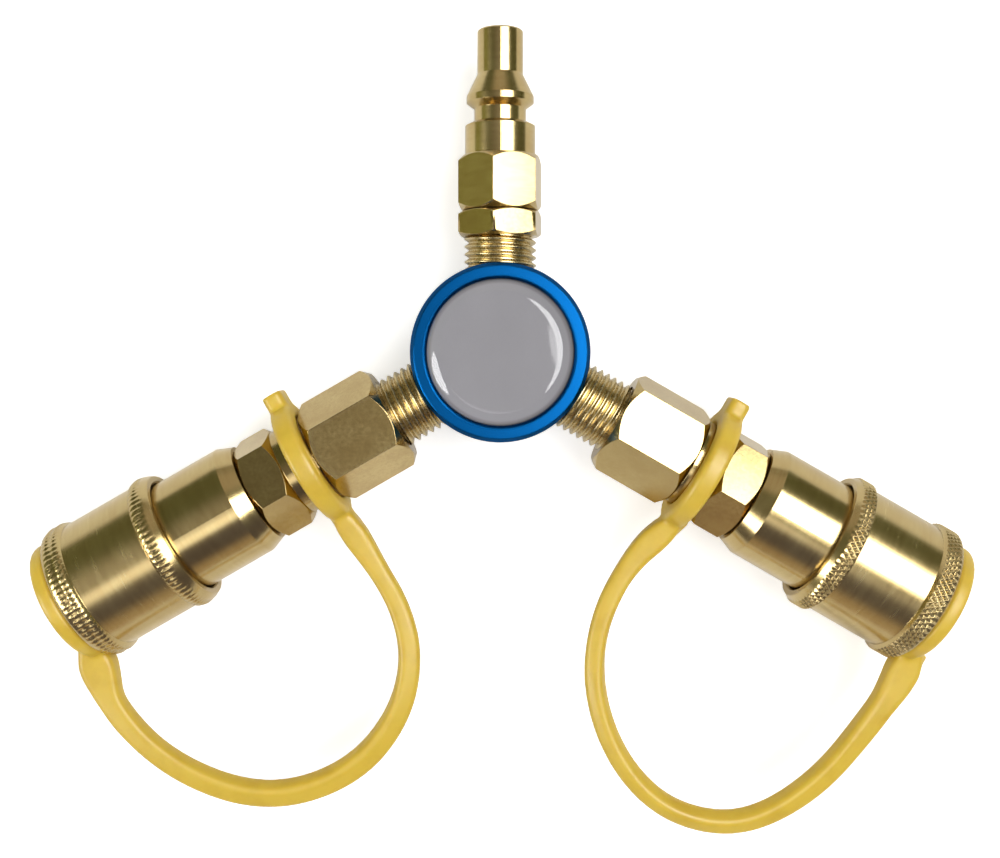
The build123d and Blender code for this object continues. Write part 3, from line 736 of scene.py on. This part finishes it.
def strap_section(width, height, segments=5):
    """A rounded rectangle, counted anticlockwise, with a low parting line along the middle of each side."""
    corner = 1.05 * MM
    seam = 0.07 * MM
    outline = []
    for quarter in range(4):
        turn = quarter * pi / 2
        x = (width / 2 - corner) * (1 if quarter in (0, 3) else -1)
        y = (height / 2 - corner) * (1 if quarter in (0, 1) else -1)
        for step in range(segments + 1):
            angle = turn + pi / 2 * step / segments
            outline.append((x + corner * cos(angle), y + corner * sin(angle)))
        if quarter in (0, 2):
            continue
        side_x = -width / 2 if quarter == 1 else width / 2
        bump = -seam if quarter == 1 else seam
        rise = seam * 1.2
        order = (1, -1) if quarter == 1 else (-1, 1)
        outline += [(side_x, rise * order[0]), (side_x + bump, 0.0), (side_x, rise * order[1])]
    return outline


def along_table(table, share):
    """Read a value between the entries of a short table, smoothly."""
    for (low, value), (high, next_value) in zip(table, table[1:]):
        if share <= high:
            t = (share - low) / (high - low)
            return value + (next_value - value) * t * t * (3 - 2 * t)
    return table[-1][1]


def strap_mesh(bm, side):
    """Sweep the strap's section along its route, with its width and twist changing on the way."""
    route = smooth_route(strap_corners(side))
    lengths = [0.0]
    for before, here in zip(route, route[1:]):
        lengths.append(lengths[-1] + (here - before).length)
    # The share of the route over which each end thickens towards its moulding
    root_share = 0.11
    rings = []
    for index, point in enumerate(route):
        tangent = (route[min(index + 1, len(route) - 1)] - route[max(index - 1, 0)]).normalized()
        share = lengths[index] / lengths[-1]
        width = sizes().strap_width * along_table(STRAP_WIDTHS[side], share)
        twist = radians(along_table(STRAP_TWISTS[side], share))
        flat = tangent.cross(UP)
        wide = flat * cos(twist) + UP * sin(twist)
        thick = UP * cos(twist) - flat * sin(twist)
        near_end = max(0.0, 1 - min(share, 1 - share) / root_share)
        height = sizes().strap_height + sizes().strap_root * near_end**2
        section = strap_section(width, height)
        rings.append([bm.verts.new(point + wide * x + thick * y) for x, y in section])
    for ring, ahead in zip(rings, rings[1:]):
        for index in range(len(ring)):
            beside = (index + 1) % len(ring)
            bm.faces.new([ring[index], ring[beside], ahead[beside], ahead[index]])
    bm.faces.new(rings[0])
    bm.faces.new(rings[-1])


class YFITTING_OT_stage(bpy.types.Operator):
    """Add the camera, the lights, the paper floor and the studio round them"""

    bl_idname = "y_fitting.stage"
    bl_label = "Stage"

    def execute(self, context):
        scene = context.scene
        scene.view_settings.view_transform = "Standard"
        self.add_camera(scene)
        self.add_floor(scene)
        self.add_lights(scene)
        self.add_studio(scene)
        return {"FINISHED"}

    def add_camera(self, scene):
        """Straight above the hub, which stands above the picture's middle."""
        height_over_arms = 226 * MM
        data = bpy.data.cameras.new("camera")
        data.sensor_width = 36
        data.lens = 43.9
        data.shift_x = -0.0002
        data.shift_y = -0.0768
        data.clip_start = 0.01
        camera = bpy.data.objects.new("camera", data)
        camera.location = (0, 0, INLET.centre.z + height_over_arms)
        scene.collection.objects.link(camera)
        scene.camera = camera

    def add_floor(self, scene):
        """A sheet six metres wide, just under the lowest part of the fitting."""
        bm = bmesh.new()
        bmesh.ops.create_grid(bm, x_segments=8, y_segments=8, size=3.0)
        mesh = bpy.data.meshes.new("floor")
        bm.to_mesh(mesh)
        bm.free()
        floor = bpy.data.objects.new("floor", mesh)
        floor.location.z = CAD_BOX[0].z - 0.05 * MM
        scene.collection.objects.link(floor)
        coat(floor, paper("white_paper_sweep", colours().floor))

    def add_lights(self, scene):
        """A long softbox to the right of overhead and a smaller one to the left of it."""
        overhead = ((0.405, 0.115), (0.5, 0.866))
        side = ((-0.77, -0.27), (-0.33, 0.944))
        self.add_softbox(scene, "softbox", *overhead, (1.3, 1.55), 29)
        self.add_softbox(scene, "side_softbox", *side, (0.8, 1.2), 11)
        # Cards that only polished surfaces see, for the white flare on brass and resin
        self.add_softbox(scene, "flare_card", *overhead, (1.25, 1.5), 23, card=True)
        self.add_softbox(scene, "side_flare_card", *side, (0.7, 1.1), 14, card=True)

    def add_softbox(self, scene, name, lean, length_axis, spread, power, card=False):
        """An oval panel two metres off; its lean is the direction's level part."""
        facing = Vector((*lean, sqrt(1 - lean[0] ** 2 - lean[1] ** 2)))
        across = Vector((*length_axis, 0)).cross(facing).normalized()
        light = bpy.data.lights.new(name, "AREA")
        light.shape = "ELLIPSE"
        light.size, light.size_y = spread
        light.energy = power
        lamp = bpy.data.objects.new(name, light)
        turn = Matrix((across, facing.cross(across), facing)).transposed().to_4x4()
        lamp.matrix_world = Matrix.Translation(facing * (2.01 if card else 2)) @ turn
        lamp.visible_diffuse = not card
        scene.collection.objects.link(lamp)

    def add_studio(self, scene):
        """The room that the brass mirrors, dim with a few pale patches; the camera itself sees white."""
        world = bpy.data.worlds.new("studio")
        scene.world = world
        world.use_nodes = True
        tree = world.node_tree
        tree.nodes.clear()
        place = add_node(tree, "ShaderNodeTexCoord").outputs["Generated"]
        split = add_node(tree, "ShaderNodeSeparateXYZ", {0: place})

        def patch(centre, spread, inner, outer):
            """One inside an oval of the sky, falling softly to nothing outside it."""
            offset = add_node(
                tree, "ShaderNodeVectorMath", {0: place, 1: (*centre, 0)}, operation="SUBTRACT"
            ).outputs[0]
            shrink = (1 / spread[0], 1 / spread[1], 0)
            shrunk = add_node(
                tree, "ShaderNodeVectorMath", {0: offset, 1: shrink}, operation="MULTIPLY"
            ).outputs[0]
            reach = add_node(tree, "ShaderNodeVectorMath", {0: shrunk}, operation="LENGTH").outputs["Value"]
            return mapped(tree, reach, 1, 0, inner, outer)

        def over(below, factor, tone, strength=1.0):
            """Lay a tone over the room as far as the factor says."""
            shade = [value * strength for value in linear(tone)]
            return mixed(tree, factor, below, (*shade, 1))

        # The room turns from green to grey towards the foot of the picture, and ends there in a tan wall
        foot = mapped(tree, split.outputs[1], 1, 0, -0.45, 0.1)
        room = over((*linear("#676A4B"), 1), foot, "#666169")
        wall = mapped(tree, split.outputs[1], 1, 0, -0.98, -0.87)
        room = over(room, wall, "#D8C3A6")
        # The horizon at the left, a pale wall at the top, the ceiling and a small window in it
        room = over(room, mapped(tree, split.outputs[0], 1, 0, -0.95, -0.78), "#979A5C")
        room = over(room, patch((0.0, 0.8), (0.4, 0.3), 0.5, 1.1), "#C4B9A8")
        room = over(room, patch((-0.05, 0.0), (1, 1), 0.3, 0.62), "#8C877C")
        room = over(room, patch((-0.12, -0.34), (0.25, 0.18), 0.55, 1.1), "#FFFFFF", 2.2)
        unseen = add_node(tree, "ShaderNodeBackground", {"Color": room, "Strength": 1.0})
        white = add_node(tree, "ShaderNodeBackground", {"Color": (1, 1, 1, 1), "Strength": 1.0})
        rays = add_node(tree, "ShaderNodeLightPath")
        mix = add_node(
            tree, "ShaderNodeMixShader",
            {0: rays.outputs["Is Camera Ray"], 1: unseen.outputs[0], 2: white.outputs[0]},
        )
        output = add_node(tree, "ShaderNodeOutputWorld")
        tree.links.new(mix.outputs[0], output.inputs[0])


class YFITTING_OT_hub(bpy.types.Operator):
    """Finish the anodised hub, its blank badge and the resin over it"""

    bl_idname = "y_fitting.hub"
    bl_label = "Hub"

    def execute(self, context):
        finish_nodes(["hub_body"], anodised_aluminium("blue_anodised_aluminium", colours().anodised))
        finish_nodes(["badge_disc"], printed_vinyl("grey_printed_vinyl", colours().badge))
        self.add_dome(clear_resin("poured_clear_resin"))
        return {"FINISHED"}

    def add_dome(self, resin):
        """Poured resin: nearly flat on top, with a soft shoulder and a skirt that steepens to its rim."""
        low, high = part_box("badge_dome")
        reach = (high.x - low.x) / 2
        # Rings close together over the shoulder, and a few on the flat
        shares = [0.0, 0.25, 0.5, 0.65] + [0.7 + 0.01 * step for step in range(31)]
        drops = [0.0]
        for share, following in zip(shares, shares[1:]):
            middle = (share + following) / 2
            drops.append(drops[-1] + tan(radians(along_table(DOME_SLOPES, middle))) * (following - share))
        bm = bmesh.new()
        columns = 128
        top = bm.verts.new((0, 0, high.z))
        rings = []
        for share, drop in zip(shares[1:], drops[1:]):
            z = high.z - (high.z - low.z) * DOME_FALL * drop / drops[-1]
            ring = []
            for column in range(columns):
                turn = tau * column / columns
                ring.append(bm.verts.new((reach * share * cos(turn), reach * share * sin(turn), z)))
            rings.append(ring)
        foot = [bm.verts.new((vertex.co.x, vertex.co.y, low.z)) for vertex in rings[-1]]
        rings.append(foot)
        for column in range(columns):
            bm.faces.new([top, rings[0][column], rings[0][(column + 1) % columns]])
        for ring, below in zip(rings, rings[1:]):
            for column in range(columns):
                beside = (column + 1) % columns
                bm.faces.new([ring[column], below[column], below[beside], ring[beside]])
        bm.faces.new(foot)
        dome = add_piece("resin_dome", bm, resin, smooth_angle=60)
        stand_for(dome, "fitting", "badge_dome")


class YFITTING_OT_inlet(bpy.types.Operator):
    """Finish the inlet plug, and cut the nipple's pipe thread"""

    bl_idname = "y_fitting.inlet"
    bl_label = "Inlet"

    def execute(self, context):
        finish_nodes(["inlet_plug"], turned_brass("turned_brass_inlet", INLET, colours().turned_brass))
        self.add_thread()
        self.add_hexagon()
        return {"FINISHED"}

    def add_thread(self):
        """The thread between hub and hexagon, as a tube of its own."""
        nipple = "inlet_nipple"
        crest = girth("left_outlet_nipple", OUTLETS["left"])
        start = span(nipple, INLET)[0]
        end = self.hexagon_face()
        bm = bmesh.new()
        threaded_tube(bm, INLET, start, end, crest, bore_radius(nipple, INLET))
        piece = add_piece("inlet_pipe_thread", bm, cut_brass("cut_brass_inlet", colours().thread_brass))
        stand_for(piece, "fitting", nipple)

    def hexagon_face(self):
        """Where the hexagon's flat face towards the hub stands."""
        crest = girth("left_outlet_nipple", OUTLETS["left"])
        measured = [INLET.measure(point) for point in node_points("inlet_nipple")]
        return min(along for along, radius in measured if radius > crest + 0.1 * MM)

    def add_hexagon(self):
        """The nipple's hexagon and inner thread, cut off the plain solid's copy at the hexagon's face."""
        face = self.hexagon_face() + 0.002 * MM
        bm = bmesh.new()
        bm.from_mesh(frame["nodes"]["inlet_nipple"].data)
        bmesh.ops.remove_doubles(bm, verts=bm.verts, dist=0.001 * MM)
        bmesh.ops.bisect_plane(
            bm, geom=bm.verts[:] + bm.edges[:] + bm.faces[:], dist=1e-7, plane_co=INLET.at(face),
            plane_no=-INLET.out, clear_outer=True,
        )
        rim = [edge for edge in bm.edges if edge.is_boundary]
        bmesh.ops.triangle_fill(bm, use_beauty=True, edges=rim)
        material = bar_brass("drawn_brass_inlet", INLET, colours().bar_brass)
        piece = add_piece("inlet_hexagon", bm, material, smooth_angle=20)
        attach(piece, "fitting")


class YFITTING_OT_outlet_nipples(bpy.types.Operator):
    """Cut the pipe thread of both outlet nipples"""

    bl_idname = "y_fitting.outlet_nipples"
    bl_label = "Outlet nipples"

    def execute(self, context):
        for side, arm in OUTLETS.items():
            node = f"{side}_outlet_nipple"
            start, end = span(node, arm)
            bm = bmesh.new()
            threaded_tube(bm, arm, start, end, girth(node, arm), bore_radius(node, arm))
            material = cut_brass(f"cut_brass_{side}", colours().thread_brass)
            piece = add_piece(f"{side}_pipe_thread", bm, material)
            stand_for(piece, "fitting", node)
        return {"FINISHED"}


class YFITTING_OT_hexagons(bpy.types.Operator):
    """Finish the hexagon couplings and the sockets' tails"""

    bl_idname = "y_fitting.hexagons"
    bl_label = "Hexagons"

    def execute(self, context):
        for side, arm in OUTLETS.items():
            material = bar_brass(f"drawn_brass_{side}", arm, colours().bar_brass)
            finish_nodes([f"{side}_hex_coupling", f"{side}_socket_tail"], material)
        return {"FINISHED"}


class YFITTING_OT_sockets(bpy.types.Operator):
    """Finish the sockets' barrels and what works inside them"""

    bl_idname = "y_fitting.sockets"
    bl_label = "Sockets"

    def execute(self, context):
        rubber = nitrile("black_nitrile")
        ball_steel = steel("ground_ball_steel", linear("#D2D4D6"), 0.08, 0.3)
        ring_steel = steel("drawn_spring_steel", linear("#B4B3AE"), 0.28, 0.15)
        for side, arm in OUTLETS.items():
            brass = turned_brass(f"turned_brass_{side}", arm, colours().turned_brass)
            turned = ("socket_barrel", "valve_guide", "valve_poppet")
            finish_nodes([f"{side}_{piece}" for piece in turned], brass)
            finish_nodes([f"{side}_{piece}" for piece in ("tail_seal", "poppet_seal", "nose_seal")], rubber)
            finish_nodes([f"{side}_locking_ball_{number}" for number in range(1, 7)], ball_steel)
            finish_nodes([f"{side}_snap_ring"], ring_steel)
            self.add_spring(side, arm, "sleeve_spring", f"{side}_sleeve_pull", ring_steel)
            self.add_spring(side, arm, "valve_spring", f"{side}_valve_push", ring_steel)
        return {"FINISHED"}

    def add_spring(self, side, arm, spring, joint, material):
        """A copy of the spring's coil that stands in for its node."""
        node = f"{side}_{spring}"
        start, end = span(node, arm)
        mesh = frame["nodes"][node].data.copy()
        mesh.name = f"{node}_coil"
        piece = bpy.data.objects.new(f"{node}_coil", mesh)
        bpy.context.scene.collection.objects.link(piece)
        coat(piece, material)
        stand_for(piece, "fitting", node)
        arm.at(start)
        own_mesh(piece)


class YFITTING_OT_sleeves(bpy.types.Operator):
    """Turn the pull-back sleeves and roll the knurl on their bands"""

    bl_idname = "y_fitting.sleeves"
    bl_label = "Sleeves"

    def execute(self, context):
        for side, arm in OUTLETS.items():
            node = f"{side}_release_sleeve"
            band = girth(node, arm)
            # The left sleeve's knurl is rolled in two rows of beads, and the right one's is crossed
            crossed = side == "right"
            columns = (2 if crossed else 4) * round(tau * band / sizes().knurl_pitch)
            bm = bmesh.new()
            revolve_rows(bm, arm, knurled_rows(turned_profile(node, arm), band, crossed), columns, crossed)
            material = turned_brass(f"sleeve_brass_{side}", arm, colours().turned_brass, roughness=0.26)
            piece = add_piece(f"{side}_knurled_sleeve", bm, material, smooth_angle=18 if crossed else 42)
            stand_for(piece, f"{side}_sleeve", node)
        return {"FINISHED"}


class YFITTING_OT_tethers(bpy.types.Operator):
    """Mould each ring, strap and dust plug in one piece of yellow vinyl"""

    bl_idname = "y_fitting.tethers"
    bl_label = "Tethers"

    def execute(self, context):
        vinyl = soft_vinyl("moulded_yellow_vinyl", colours().vinyl)
        loop_start = 12 * MM
        for side, arm in OUTLETS.items():
            ring, strap, plug = f"{side}_strap_ring", f"{side}_dust_strap", f"{side}_dust_plug"
            bm = bmesh.new()
            bm.from_mesh(frame["nodes"][ring].data)
            bm.from_mesh(frame["nodes"][plug].data)
            strap_mesh(bm, side)
            tether = moulded(f"{side}_moulded_tether", bm, vinyl)
            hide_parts(ring, strap, plug)
            beside = arm.side * STRAP_TURN[side] * loop_start
            ring_end = span(ring, arm)[1]
            plug_end = span(plug, arm)[0]
            arm.at(ring_end) + beside
            arm.at(plug_end) + beside
            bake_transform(tether)
        return {"FINISHED"}


class YFITTING_PT_panel(bpy.types.Panel):
    """Sizes, colours and pieces of the fitting"""

    bl_label = "Y Fitting"
    bl_space_type = "VIEW_3D"
    bl_region_type = "UI"
    bl_category = "Y Fitting"

    def draw(self, context):
        for group in (sizes(), colours()):
            box = self.layout.box()
            for name in group.__annotations__:
                box.prop(group, name)
        for operator in OPERATORS:
            self.layout.operator(operator.bl_idname)


OPERATORS = (
    YFITTING_OT_stage,
    YFITTING_OT_hub,
    YFITTING_OT_inlet,
    YFITTING_OT_outlet_nipples,
    YFITTING_OT_hexagons,
    YFITTING_OT_sockets,
    YFITTING_OT_sleeves,
    YFITTING_OT_tethers,
)
CLASSES = (FittingSizes, FittingColours, *OPERATORS, YFITTING_PT_panel)


def register():
    for cls in CLASSES:
        bpy.utils.register_class(cls)
    bpy.types.Scene.y_fitting_sizes = PointerProperty(type=FittingSizes)
    bpy.types.Scene.y_fitting_colours = PointerProperty(type=FittingColours)


def unregister():
    del bpy.types.Scene.y_fitting_sizes
    del bpy.types.Scene.y_fitting_colours
    for cls in reversed(CLASSES):
        bpy.utils.unregister_class(cls)


def main():
    register()
    bpy.ops.y_fitting.stage()
    bpy.ops.y_fitting.hub()
    bpy.ops.y_fitting.inlet()
    bpy.ops.y_fitting.outlet_nipples()
    bpy.ops.y_fitting.hexagons()
    bpy.ops.y_fitting.sockets()
    bpy.ops.y_fitting.sleeves()
    bpy.ops.y_fitting.tethers()


if __name__ == "__main__":
    main()
